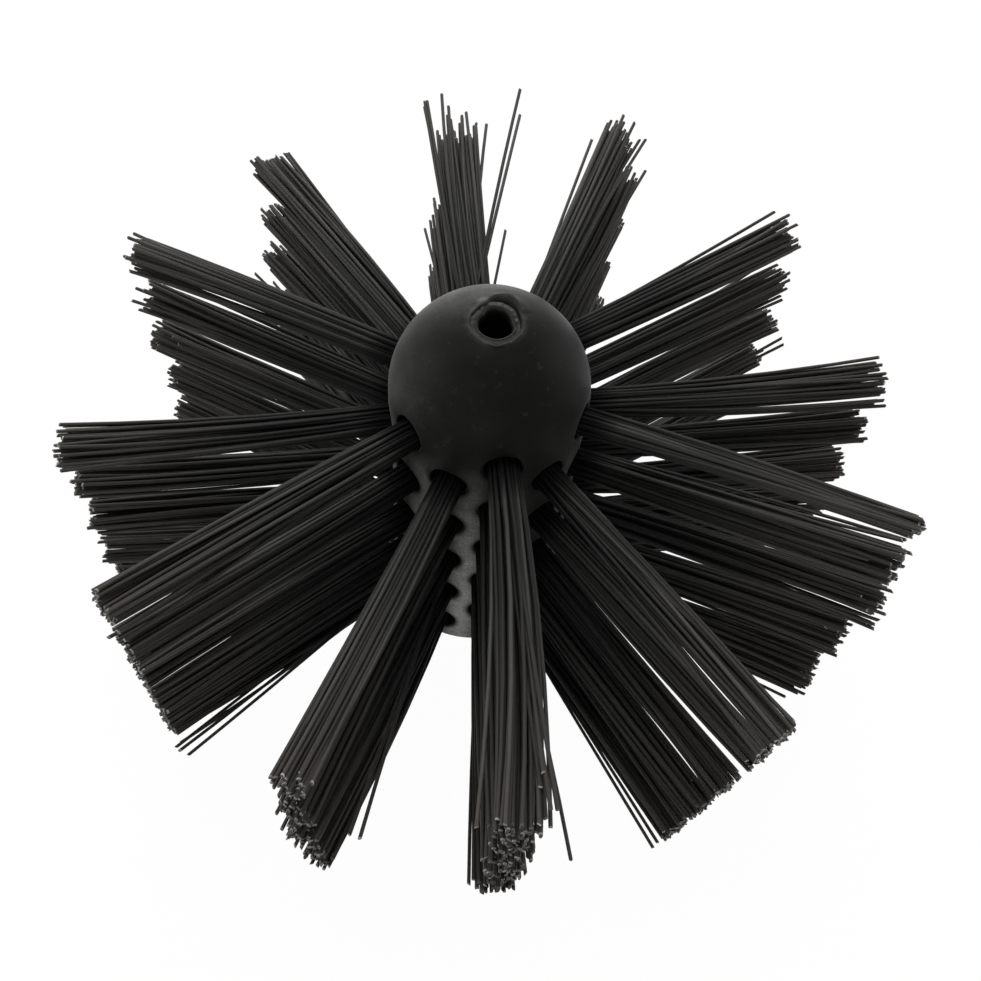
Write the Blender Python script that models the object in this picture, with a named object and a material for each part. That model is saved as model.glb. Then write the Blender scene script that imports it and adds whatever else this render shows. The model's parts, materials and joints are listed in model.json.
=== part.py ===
"""Rotary chimney and flue brush head.

A moulded hub with a ball nose carries twelve lengthwise rows of five tufts, and a turned sleeve
in its middle takes the rod. Lengths are in metres. The origin is the centre of the flat rear
face, on which the head stands, and +Z runs along the hub towards the nose.
"""

import math

import bmesh
import bpy
from mathutils import Matrix, Vector

# Whole head
SWEEP_DIAMETER = 0.100
FIT_GAP = 0.0003
CUT_OVERRUN = 0.0010

# Hub: one diameter for the barrel and the ball nose
HUB_DIAMETER = 0.0236
HUB_WALL = 0.0022
CORE_WALL = 0.0010
REAR_WALL = 0.0022
REAR_CHAMFER = 0.0005
NOSE_RIM = 0.0003
HUB_SEGMENTS = 48
NOSE_STEPS = 10

# Tufts: rows run along the hub, and every other row sits half a pitch further back
ROW_COUNT = 12
TUFTS_PER_ROW = 5
TUFT_PITCH = 0.0086
STAGGER_SHARE = 0.5
REAR_MARGIN = 0.0050
HOLE_DIAMETER = 0.0046
HOLE_SEGMENTS = 16

# Bristles: each strand is as thick as the few filaments that it stands for
STRAND_WIDTH = 0.0009
TUFT_CLEARANCE = 0.0003
TUFT_TIP_DIAMETER = 0.0050
OUTER_STRANDS = 7
SEAT_DEPTH_SHARE = 0.4
LENGTH_SHARES = (1.0, 0.990, 0.978, 0.996, 0.984, 1.0, 0.975, 0.987)

# How each row's tufts lean, in degrees: to the side (+ is anticlockwise seen from the nose) and
# towards the nose, first for the tuft nearest the nose and then for the last one
ROW_LEANS = (
    ((-5.5, -3.5), (-4.5, 4.0)),
    ((0.0, -1.0), (0.5, 5.5)),
    ((0.0, 0.5), (1.5, 0.5)),
    ((1.5, -1.0), (-0.5, 2.0)),
    ((-2.5, -3.5), (-3.5, -0.5)),
    ((-0.5, 0.0), (2.0, -1.0)),
    ((-2.5, -3.5), (-1.0, -1.0)),
    ((0.5, 5.0), (0.0, 5.0)),
    ((-1.5, -4.0), (-4.5, -1.0)),
    ((0.0, 0.0), (-1.0, 0.0)),
    ((1.5, 3.5), (1.0, 2.5)),
    ((-0.5, -0.5), (-5.5, 1.5)),
)

# Sleeve: a socket for the rod at the rear, and a thin spigot that shows in the nose
SOCKET_DIAMETER = 0.0068
SOCKET_DEPTH = 0.0220
SLEEVE_BODY_DIAMETER = 0.0104
SLEEVE_BODY_LENGTH = 0.0280
SPIGOT_DIAMETER = 0.0054
SPIGOT_BORE = 0.0040
SPIGOT_RECESS = 0.0004
SLEEVE_SETBACK = 0.0004
SLEEVE_EDGE = 0.0003
SLEEVE_SEGMENTS = 24

# Sizes that follow from those above
sweep_radius = SWEEP_DIAMETER / 2
hub_radius = HUB_DIAMETER / 2
hole_radius = HOLE_DIAMETER / 2
stagger = STAGGER_SHARE * TUFT_PITCH
barrel_length = REAR_MARGIN + stagger + (TUFTS_PER_ROW - 1) * TUFT_PITCH
row_step = 2 * math.pi / ROW_COUNT

body_bore_radius = SLEEVE_BODY_DIAMETER / 2 + FIT_GAP
nose_bore_radius = SPIGOT_DIAMETER / 2 + FIT_GAP
mouth_radius = nose_bore_radius + NOSE_RIM
mouth_angle = math.acos(mouth_radius / hub_radius)
mouth_height = barrel_length + hub_radius * math.sin(mouth_angle)

cavity_inner = body_bore_radius + CORE_WALL
cavity_outer = hub_radius - HUB_WALL
cavity_bottom = REAR_WALL
cavity_top = barrel_length + hole_radius + CUT_OVERRUN
wall_middle = (cavity_outer + hub_radius) / 2

slice_inner = cavity_inner + FIT_GAP
slice_outer = (cavity_outer - FIT_GAP) * math.cos(row_step / 2)
seat_radius = slice_outer - SEAT_DEPTH_SHARE * (slice_outer - slice_inner)
strand_reach = STRAND_WIDTH / math.sqrt(2)
root_circle = hole_radius - TUFT_CLEARANCE - strand_reach
tip_circle = TUFT_TIP_DIAMETER / 2 - strand_reach


def clear_scene():
    """Remove every object that the scene starts with."""
    for obj in list(bpy.data.objects):
        bpy.data.objects.remove(obj, do_unlink=True)


def make_material(name, colour, roughness, metallic):
    """Return a Principled material in one plain finish."""
    material = bpy.data.materials.new(name)
    material.use_nodes = True
    shader = material.node_tree.nodes["Principled BSDF"]
    shader.inputs["Base Color"].default_value = (*colour, 1.0)
    shader.inputs["Roughness"].default_value = roughness
    shader.inputs["Metallic"].default_value = metallic
    return material


def mesh_from(bm, name):
    """Turn a bmesh into a mesh whose faces point out and whose round faces shade smooth."""
    bmesh.ops.recalc_face_normals(bm, faces=bm.faces)
    mesh = bpy.data.meshes.new(name)
    bm.to_mesh(mesh)
    bm.free()
    mesh.shade_smooth()
    mesh.set_sharp_from_angle(angle=math.radians(30))
    return mesh


def add_object(name, mesh, parent=None):
    """Place a mesh in the scene, under the head's empty where one is given."""
    obj = bpy.data.objects.new(name, mesh)
    obj.parent = parent
    bpy.context.scene.collection.objects.link(obj)
    return obj


def add_cutter(name, mesh):
    """Place a mesh that only shapes another one."""
    cutter = add_object(name, mesh)
    cutter.hide_render = True
    cutter.display_type = "WIRE"
    return cutter


def add_boolean(obj, cutter, operation):
    """Cut or join a guide with the exact solver."""
    modifier = obj.modifiers.new(cutter.name, "BOOLEAN")
    modifier.operation = operation
    modifier.solver = "EXACT"
    modifier.use_self = True
    modifier.object = cutter


def turned_mesh(name, outline, segments):
    """Spin a closed outline of (radius, height) points round the Z axis."""
    bm = bmesh.new()
    points = [bm.verts.new((radius, 0, height)) for radius, height in outline]
    edges = [bm.edges.new((points[i - 1], points[i])) for i in range(len(points))]
    bmesh.ops.spin(
        bm,
        geom=points + edges,
        cent=(0, 0, 0),
        axis=(0, 0, 1),
        angle=2 * math.pi,
        steps=segments,
        use_merge=True,
    )
    return mesh_from(bm, name)


def row_angle(row):
    """Direction of a row of tufts round the hub. Row 0 faces -Y."""
    return -math.pi / 2 - row * row_step


def tuft_heights(row):
    """Heights of a row's tufts above the rear face, lowest first."""
    lead = 0 if row % 2 else stagger
    return [REAR_MARGIN + lead + i * TUFT_PITCH for i in range(TUFTS_PER_ROW)]


def tuft_slopes(row, tuft):
    """How far a tuft strays to the side and upwards per length, counted from the lowest tuft."""
    share = tuft / (TUFTS_PER_ROW - 1)
    first, last = ROW_LEANS[row]
    leans = [low + (high - low) * share for high, low in zip(first, last)]
    return [math.tan(math.radians(lean)) for lean in leans]


def hub_outline():
    """Barrel, ball nose with a bored mouth, and the stepped bore that holds the sleeve."""
    step_height = SLEEVE_SETBACK + SLEEVE_BODY_LENGTH + FIT_GAP
    outline = [
        (body_bore_radius, 0),
        (hub_radius - REAR_CHAMFER, 0),
        (hub_radius, REAR_CHAMFER),
    ]
    for i in range(NOSE_STEPS + 1):
        angle = mouth_angle * i / NOSE_STEPS
        outline.append((
            hub_radius * math.cos(angle),
            barrel_length + hub_radius * math.sin(angle),
        ))
    outline += [
        (nose_bore_radius, mouth_height - NOSE_RIM),
        (nose_bore_radius, step_height),
        (body_bore_radius, step_height),
    ]
    return outline


def hole_cutter_mesh():
    """All the tuft holes, each from inside the hub's cavity to clear of its skin."""
    bm = bmesh.new()
    outer = hub_radius + CUT_OVERRUN
    depth = outer - seat_radius
    middle = Vector(((seat_radius + outer) / 2, 0, 0))
    lay_down = Matrix.Rotation(math.pi / 2, 4, "Y")
    for row in range(ROW_COUNT):
        turn = Matrix.Rotation(row_angle(row), 4, "Z")
        for height in tuft_heights(row):
            place = turn @ Matrix.Translation(middle + Vector((0, 0, height)))
            bmesh.ops.create_cone(
                bm,
                cap_ends=True,
                segments=HOLE_SEGMENTS,
                radius1=hole_radius,
                radius2=hole_radius,
                depth=depth,
                matrix=place @ lay_down,
            )
    return mesh_from(bm, "tuft_hole_cutter")


def build_hub(parent, material):
    """Hub moulding: its wall is open at every tuft hole, over the ring that holds the rows."""
    hub = add_object("hub", turned_mesh("hub", hub_outline(), HUB_SEGMENTS), parent)
    hub.data.materials.append(material)
    cavity_outline = [
        (cavity_inner, cavity_bottom),
        (cavity_outer, cavity_bottom),
        (cavity_outer, cavity_top),
        (cavity_inner, cavity_top),
    ]
    cavity = add_cutter("cavity_cutter", turned_mesh("cavity", cavity_outline, HUB_SEGMENTS))
    holes = add_cutter("tuft_hole_cutter", hole_cutter_mesh())
    add_boolean(hub, cavity, "DIFFERENCE")
    add_boolean(hub, holes, "DIFFERENCE")
    return hub


def build_sleeve(parent, material):
    """Turned sleeve: wide round the rod's socket, thin where it runs on to the nose."""
    body_radius = SLEEVE_BODY_DIAMETER / 2
    spigot_radius = SPIGOT_DIAMETER / 2
    socket_radius = SOCKET_DIAMETER / 2
    bore_radius = SPIGOT_BORE / 2
    body_top = SLEEVE_SETBACK + SLEEVE_BODY_LENGTH
    socket_top = SLEEVE_SETBACK + SOCKET_DEPTH
    cone_height = socket_radius - bore_radius
    front = mouth_height - SPIGOT_RECESS
    outline = [
        (socket_radius + SLEEVE_EDGE, SLEEVE_SETBACK),
        (body_radius - SLEEVE_EDGE, SLEEVE_SETBACK),
        (body_radius, SLEEVE_SETBACK + SLEEVE_EDGE),
        (body_radius, body_top),
        (spigot_radius, body_top),
        (spigot_radius, front - SLEEVE_EDGE),
        (spigot_radius - SLEEVE_EDGE, front),
        (bore_radius, front),
        (bore_radius, socket_top + cone_height),
        (socket_radius, socket_top),
        (socket_radius, SLEEVE_SETBACK + SLEEVE_EDGE),
    ]
    mesh = turned_mesh("threaded_sleeve", outline, SLEEVE_SEGMENTS)
    mesh.materials.append(material)
    return add_object("threaded_sleeve", mesh, parent)


def backing_mesh():
    """Slice of the hub behind one row: a bar with flat faces, half a gap short of the next."""
    bm = bmesh.new()
    half_angle = row_step / 2
    corners = []
    for reach, side in ((slice_inner, -1), (slice_outer, -1), (slice_outer, 1), (slice_inner, 1)):
        half_width = reach * math.tan(half_angle) - FIT_GAP / 2 / math.cos(half_angle)
        corners.append((reach, side * half_width))
    bottom = cavity_bottom + FIT_GAP
    top = cavity_top - FIT_GAP
    face = bm.faces.new([bm.verts.new((x, y, bottom)) for x, y in corners])
    grown = bmesh.ops.extrude_face_region(bm, geom=[face])
    risen = [item for item in grown["geom"] if isinstance(item, bmesh.types.BMVert)]
    bmesh.ops.translate(bm, verts=risen, vec=(0, 0, top - bottom))
    return mesh_from(bm, "backing")


def add_strand(bm, tuft_height, slopes, spread, angle, length_share):
    """One four-sided strand from its seat in the slice to its cut end, leaning in its hole's mouth."""
    side_slope, up_slope = slopes
    cut_radius = sweep_radius * length_share
    cut_side = tip_circle * spread * math.cos(angle) + (cut_radius - wall_middle) * side_slope
    cut_reach = math.sqrt(cut_radius ** 2 - cut_side ** 2)
    ends = []
    for reach, circle in ((seat_radius, root_circle), (cut_reach, tip_circle)):
        arm = reach - wall_middle
        y = circle * spread * math.cos(angle) + arm * side_slope
        z = tuft_height + circle * spread * math.sin(angle) + arm * up_slope
        corner_angles = [angle + i * math.pi / 2 for i in range(4)]
        ends.append([
            bm.verts.new((
                reach,
                y + strand_reach * math.cos(a),
                z + strand_reach * math.sin(a),
            ))
            for a in corner_angles
        ])
    root, tip = ends
    bm.faces.new(root[::-1])
    bm.faces.new(tip)
    for i in range(4):
        bm.faces.new((root[i - 1], root[i], tip[i], tip[i - 1]))


def strands_mesh(row):
    """The strands of one row: each tuft has one in its middle and a ring round it."""
    bm = bmesh.new()
    ring_step = 2 * math.pi / OUTER_STRANDS
    for tuft, height in enumerate(tuft_heights(row)):
        slopes = tuft_slopes(row, tuft)
        add_strand(bm, height, slopes, 0, 0, LENGTH_SHARES[0])
        for i in range(OUTER_STRANDS):
            length_share = LENGTH_SHARES[(i + 1) % len(LENGTH_SHARES)]
            add_strand(bm, height, slopes, 1, i * ring_step, length_share)
    return mesh_from(bm, "strands")


def row_mesh(row, name):
    """A row's slice with its strands fused to it."""
    backing = add_object(name, backing_mesh())
    strands = add_cutter("strands_guide", strands_mesh(row))
    add_boolean(backing, strands, "UNION")
    depsgraph = bpy.context.evaluated_depsgraph_get()
    mesh = bpy.data.meshes.new_from_object(backing.evaluated_get(depsgraph))
    mesh.name = name
    bpy.data.objects.remove(backing, do_unlink=True)
    bpy.data.objects.remove(strands, do_unlink=True)
    return mesh


def build_rows(parent, material):
    """Model each row along +X and turn it to its place round the hub."""
    for row in range(ROW_COUNT):
        name = f"bristle_row_{row + 1:02d}"
        mesh = row_mesh(row, name)
        mesh.materials.append(material)
        obj = add_object(name, mesh, parent)
        obj.rotation_euler.z = row_angle(row)


def build_head():
    """Model the whole brush head."""
    clear_scene()
    head = add_object("brush_head", None)
    moulded = make_material("black_plastic", (0.018, 0.018, 0.017), 0.5, 0.0)
    nylon = make_material("black_nylon", (0.010, 0.010, 0.009), 0.38, 0.0)
    steel = make_material("blackened_steel", (0.045, 0.045, 0.042), 0.45, 0.8)
    build_hub(head, moulded)
    build_sleeve(head, steel)
    build_rows(head, nylon)


build_head()
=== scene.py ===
"""Looks of the rotary chimney brush head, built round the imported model.

Metres, origin at the centre of the hub's rear face, +Z towards the ball nose. The hub, the sleeve
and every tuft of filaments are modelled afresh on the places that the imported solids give.
"""

import json
import math

import bpy
import bmesh
import numpy as np
from mathutils import Euler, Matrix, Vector, noise

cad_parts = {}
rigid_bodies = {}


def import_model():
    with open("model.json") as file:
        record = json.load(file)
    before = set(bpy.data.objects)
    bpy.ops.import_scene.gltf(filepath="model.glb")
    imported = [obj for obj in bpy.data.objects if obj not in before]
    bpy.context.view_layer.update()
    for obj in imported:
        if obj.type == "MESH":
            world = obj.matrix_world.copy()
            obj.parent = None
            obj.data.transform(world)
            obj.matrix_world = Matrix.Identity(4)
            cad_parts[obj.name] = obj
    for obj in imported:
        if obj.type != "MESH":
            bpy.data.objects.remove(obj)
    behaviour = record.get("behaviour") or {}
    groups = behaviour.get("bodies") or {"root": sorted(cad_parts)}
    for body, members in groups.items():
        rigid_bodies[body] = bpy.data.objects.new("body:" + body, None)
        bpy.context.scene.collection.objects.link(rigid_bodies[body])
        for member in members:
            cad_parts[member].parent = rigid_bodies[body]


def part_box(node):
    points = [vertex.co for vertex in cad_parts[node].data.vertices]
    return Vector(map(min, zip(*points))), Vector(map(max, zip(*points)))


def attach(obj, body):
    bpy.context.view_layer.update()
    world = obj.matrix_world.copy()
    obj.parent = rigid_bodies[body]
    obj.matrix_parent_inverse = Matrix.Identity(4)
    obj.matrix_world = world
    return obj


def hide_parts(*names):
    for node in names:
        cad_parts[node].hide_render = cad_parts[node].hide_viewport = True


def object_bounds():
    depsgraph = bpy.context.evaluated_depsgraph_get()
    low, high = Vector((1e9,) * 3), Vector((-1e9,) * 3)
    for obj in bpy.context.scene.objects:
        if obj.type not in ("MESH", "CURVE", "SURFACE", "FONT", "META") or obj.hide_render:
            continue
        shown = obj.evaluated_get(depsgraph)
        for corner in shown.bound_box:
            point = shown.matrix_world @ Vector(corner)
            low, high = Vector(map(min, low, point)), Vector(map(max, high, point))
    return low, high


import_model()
cad_low, cad_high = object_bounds()
hub_low, hub_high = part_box("hub")
sleeve_low, sleeve_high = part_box("threaded_sleeve")

MM = 0.001
SEED = 60

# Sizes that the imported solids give
sweep_radius = (cad_high.x - cad_low.x) / 2
hub_radius = (hub_high.x - hub_low.x) / 2
sleeve_radius = (sleeve_high.x - sleeve_low.x) / 2

# Hub, as in the part
ROW_COUNT = 12
TUFTS_PER_ROW = 5
TUFT_PITCH = 8.6 * MM
REAR_MARGIN = 5.0 * MM
REAR_CHAMFER = 0.5 * MM
NOSE_BORE_RADIUS = 3.0 * MM
BODY_BORE_RADIUS = 5.5 * MM
BODY_BORE_DEPTH = 28.7 * MM
barrel_length = REAR_MARGIN + TUFT_PITCH * (TUFTS_PER_ROW - 0.5)
row_step = 2 * math.pi / ROW_COUNT

# Sleeve, as in the part
SLEEVE_SETBACK = 0.4 * MM
SLEEVE_BODY_LENGTH = 28.0 * MM
SLEEVE_EDGE = 0.3 * MM
SPIGOT_RADIUS = 2.7 * MM
SPIGOT_BORE_RADIUS = 2.0 * MM
SOCKET_RADIUS = 3.4 * MM
SOCKET_DEPTH = 22.0 * MM

# Hub's mesh: tuft holes with a soft edge in patches of skin, rear edge and bore
HOLE_RADIUS = 2.25 * MM
HOLE_EDGE = 0.3 * MM
HOLE_FLOOR_RADIUS = 7.9 * MM
HOLE_WALL_SHARES = (0.25, 0.55, 0.99)
HALF_PITCH_STEPS = 8
ROW_WIDTH_STEPS = 12
SKIN_STEPS = 4
HOLE_EDGE_STEPS = 3
CHAMFER_STEPS = 4
BORE_CHAMFER = 0.2 * MM
HUB_WELD = 0.002 * MM
HUB_SHARP_DEGREES = 50

# Nose of the hub, ragged near its hole. A place round the axis is an angle and a width in degrees
NOSE_STEPS = 26
NOSE_RAGGED_START_SHARE = 0.84
NOSE_RAGGED_LENGTH_SHARE = 0.16
NOSE_RAGGEDNESS = 0.8
MOUTH_RIM = 0.22 * MM
MOUTH_DENT = 1.3 * MM
MOUTH_DENT_PLACE = (64, 32)
MOUTH_POINT = 0.3 * MM
MOUTH_POINT_PLACE = (265, 14)

# Rim of the nose hole, going in: radius and depth in mm, and share of the rim's raggedness
MOUTH_PROFILE = (
    (3.12, -0.05, 1.0), (3.00, -0.06, 1.0), (2.90, 0.03, 0.9), (2.84, 0.18, 0.8),
    (2.82, 0.50, 0.6), (2.84, 0.90, 0.3), (3.00, 2.50, 0.0),
)

# Sleeve's mesh: thread, and front ring with a lip that stands off the hub's mouth at two slits
SLEEVE_SEGMENTS = 96
SLEEVE_WELD = 0.0005 * MM
SLEEVE_SHARP_DEGREES = 40
SOCKET_EDGE = 0.5 * MM
THREAD_PITCH = 1.25 * MM
THREAD_DEPTH = 0.6 * MM
THREAD_STEPS = 12
THREAD_HEIGHT = 1.25
THREAD_SLOPE = 3.2
RING_ROOT_DEPTH = 2.5 * MM
RING_BORE_DEPTH = 3.0 * MM
RING_LIFT = 0.2 * MM
RING_STRETCH = 0.3 * MM
RING_STRETCH_PLACE = (84, 44)
RING_RISE = 0.1 * MM
RING_RISE_PLACE = (90, 60)
RING_SLIT = 0.24 * MM
RING_SLIT_PLACES = ((130, 13), (8, 22))

# Front ring of the sleeve, over its lip and in: radius and depth in mm, and share of raggedness
RING_PROFILE = (
    (2.76, 0.90, 0.3), (2.90, 0.30, 0.9), (2.92, 0.12, 1.0), (2.76, 0.03, 1.0), (2.48, 0.08, 1.0),
    (2.36, 0.02, 1.0), (2.24, -0.05, 1.0), (2.14, -0.02, 0.9), (2.00, 0.12, 0.9), (1.90, 0.30, 0.9),
    (1.86, 0.60, 0.9), (1.86, 0.95, 0.6), (2.00, 1.50, 0.0),
)

# Raggedness of both rims outwards and upwards, as a sum of noises round the axis. Each has its
# strength in mm, how tightly it varies and its own place in the noise
MOUTH_OUT_NOISES = ((0.12, 1.2, 3.0), (0.06, 3.5, 8.0))
MOUTH_UP_NOISES = ((0.12, 1.8, 21.0), (0.06, 5.0, 13.0))
RING_OUT_NOISES = ((0.05, 1.6, 40.0),)
RING_UP_NOISES = ((0.12, 1.8, 55.0), (0.07, 5.0, 31.0))
NOISE_FALLOFF = 0.8
NOISE_LACUNARITY = 2.0
NOISE_OCTAVES = 3

# Dust and painted light on the hub, as a share of full dust colour. A place round the axis is an
# angle and a width in degrees
DUST_SKIN_DEPTH = 0.35 * MM
# Faint painted light that lifts the shade inside the holes and bores
INSIDE_PAINTED_LIGHT = 0.015
# Painted shade on the lands round each hole, and painted shadow of the tufts on the lands to one side
HOLE_PAINTED_SHADE_WIDTH = 1.0 * MM
LAND_PALENESS_SLOPE = 1.8
LAND_PALENESS_MOST = 1.3
SIDE_PAINTED_SHADOW = 0.95
SIDE_PAINTED_SHADOW_PLACE = (-64, 30)
BALL_BLEND_SHARE = 0.3
# Painted light on the ball's back, and painted rim highlights on its left flank and round its mouth
BACK_PAINTED_LIGHT = 0.34
BACK_PAINTED_LIGHT_DIRECTION = (-0.1, 0.95, 0.3)
BACK_PAINTED_LIGHT_TIGHTNESS = 3
FLANK_PAINTED_HIGHLIGHT = 0.07
FLANK_PAINTED_HIGHLIGHT_DIRECTION = (-0.96, -0.2, 0.2)
FLANK_PAINTED_HIGHLIGHT_TIGHTNESS = 8
RIM_PAINTED_HIGHLIGHT = 0.08
RIM_PAINTED_HIGHLIGHT_RADIUS = 3.05 * MM
RIM_PAINTED_HIGHLIGHT_WIDTH = 0.2 * MM
FLECK_DUST = 0.22
FLECK_PLACE = (108, 8)
FLECK_RADIUS = 3.6 * MM
FLECK_WIDTH = 0.35 * MM

# Tufts: a bundle of filaments from a root in the hole's mouth, in a few clumps that part
FILAMENTS_PER_TUFT = 54
TUFT_MOUTH_DEPTH = 0.4 * MM
TUFT_ROOT_RADIUS = 1.7 * MM
TUFT_LEAN_SHIFT = 0.35 * MM
TUFT_FULL_SHIFT_DEGREES = 4
TUFT_SAG = 0.3 * MM
TUFT_BOW = 0.018
TIP_INSET = 0.08 * MM
CLUMP_COUNTS = (4, 7)
CLUMP_PARTING = 0.2 * MM
STRAND_END_SHARE = 0.93
tuft_mouth = hub_radius - TUFT_MOUTH_DEPTH
tuft_reach = sweep_radius - tuft_mouth

# Filaments: how each strays from its place in the tuft, bows and is cut
FILAMENT_RADIUS = 0.22 * MM
FILAMENT_SIDES = 8
FILAMENT_SHARP_DEGREES = 60
FILAMENT_STRAYING = 0.3 * MM
LOOSE_STRAYING = 1.0 * MM
FILAMENT_BOW = 0.02
PATH_SHARES = (0.2, 0.42, 0.64, 0.84)
FLOOR_GAP = 0.15 * MM
SHORT_SHARE = 0.04
SHORTENING_MM = (1.0, 4.0)
CUT_LEAST = -2.5
CUT_MOST = 1.6
CUT_BAND = 0.12 * MM
CUT_ROUNDING = 0.05 * MM
CUT_SLANT = 0.35
CUT_PALENESS_SKEW = 1.2
CUT_FACE_PALENESS = 0.02
CUT_FACE_VARIATION = 0.12
TINT_SKEW = 2.2

# Strays: how far their roots stand to the side for each degree of lean, and at most
STRAY_ROOT_SHIFT = 0.1 * MM
STRAY_ROOT_RADIUS = 0.8 * MM
STRAY_CURL = 0.02

# Each row's cut and spread: how far beyond the sweep it is cut at its nose end and at its rear end,
# and the radius that its tufts have spread to at their cut at the nose end and at the rear end, in mm
ROW_CUTS = (
    (1.0, -1.0, 2.9, 2.6),
    (0.0, -1.5, 2.4, 2.3),
    (-0.7, -1.8, 2.9, 2.3),
    (-0.7, -0.5, 3.0, 2.6),
    (-1.5, -1.5, 2.9, 2.4),
    (-0.5, 0.0, 2.2, 2.4),
    (-3.5, 0.0, 3.3, 2.9),
    (-0.5, 0.0, 2.5, 2.4),
    (-0.5, 0.5, 2.6, 2.5),
    (-0.8, -0.5, 3.2, 3.0),
    (0.0, -0.5, 2.9, 3.6),
    (0.5, -2.0, 2.0, 2.3),
)

# Tufts that depart from their row, by row and tuft: further lean to the side and towards the nose
# in degrees, and further length and further spread in mm
ODD_TUFTS = {
    (1, 5): (-1.0, 0.0, 0.0, 0.0),
    (2, 2): (0.0, 0.0, 0.5, 0.0),
    (2, 3): (0.0, 0.0, 1.0, 0.0),
    (2, 4): (0.0, 0.0, 0.5, 0.0),
    (2, 5): (0.0, -1.0, 0.0, 0.0),
    (3, 1): (1.0, 0.0, 0.0, 0.0),
    (3, 2): (1.0, 0.0, 0.0, 0.0),
    (3, 5): (-2.0, 0.0, 0.0, 0.0),
    (4, 1): (0.5, 0.0, 0.0, 0.0),
    (4, 2): (-1.0, 0.0, 0.0, -0.2),
    (4, 3): (0.0, 0.0, 0.0, -0.4),
    (5, 2): (-1.0, 0.0, 0.0, 0.2),
    (5, 3): (-0.5, 0.0, 0.5, 0.0),
    (5, 4): (-0.5, 0.0, -0.5, 0.0),
    (6, 1): (0.5, 0.0, 0.0, 0.0),
    (6, 2): (0.0, 0.0, -0.5, 0.0),
    (6, 3): (0.0, 0.0, 0.5, 0.0),
    (7, 1): (0.0, -2.0, 0.0, 0.0),
    (7, 2): (-1.0, 0.0, 0.0, 0.0),
    (8, 1): (1.0, -1.0, 0.0, 0.0),
    (8, 2): (-2.0, 0.0, 1.0, 0.0),
    (8, 3): (-0.5, 0.0, 0.5, 0.0),
    (9, 1): (0.5, 0.0, 0.0, 0.4),
    (9, 2): (-0.5, 0.0, 0.5, 0.0),
    (9, 3): (-1.0, 0.0, 0.5, 0.0),
    (9, 4): (0.5, 0.0, 0.5, 0.0),
    (10, 2): (-0.5, 0.0, 0.0, 0.0),
    (11, 1): (0.0, -1.5, 0.0, -1.5),
    (11, 2): (0.5, 0.0, 1.0, 0.2),
    (11, 3): (0.0, 0.0, 2.0, 0.0),
    (11, 4): (0.0, 0.0, 0.5, 0.0),
    (11, 5): (-2.0, -2.5, 0.0, 0.0),
    (12, 1): (0.5, 0.0, 0.0, 0.0),
    (12, 2): (2.0, 0.0, 0.0, 0.0),
    (12, 3): (1.0, 0.0, 0.0, 0.0),
    (12, 4): (0.5, 0.0, 0.0, 0.0),
}

# Tufts that leave their hole to one side and bend back, by row and tuft: how far the root is
# shifted and how far the middle bows, both in mm
BENT_TUFTS = {
    (1, 1): (0.5, 0.9),
    (1, 5): (0.3, 0.0),
    (2, 5): (-0.8, 0.0),
    (3, 5): (-0.8, 0.0),
    (6, 1): (0.5, 0.0),
    (9, 1): (0.8, 0.0),
    (9, 2): (1.0, 0.0),
    (9, 3): (0.4, 0.0),
}

# Tufts whose strays leave the hole to one side of its middle, by row and tuft, in mm
STRAY_ROOTS = {
    (1, 1): 0.3,
    (3, 5): -1.4,
    (6, 1): 0.3,
    (7, 1): 1.4,
    (7, 4): 1.4,
    (9, 1): 1.4,
    (12, 5): -0.9,
}

# How uneven each row's cut is, in mm
CUT_UNEVENNESS = (0.5, 0.6, 0.2, 0.4, 0.5, 1.2, 1.4, 1.0, 0.6, 0.4, 0.5, 0.2)

# Share of each row's filaments that stand loosely in their tuft
LOOSE_SHARES = (0.05, 0.06, 0.12, 0.08, 0.07, 0.12, 0.12, 0.10, 0.08, 0.06, 0.12, 0.18)

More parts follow.
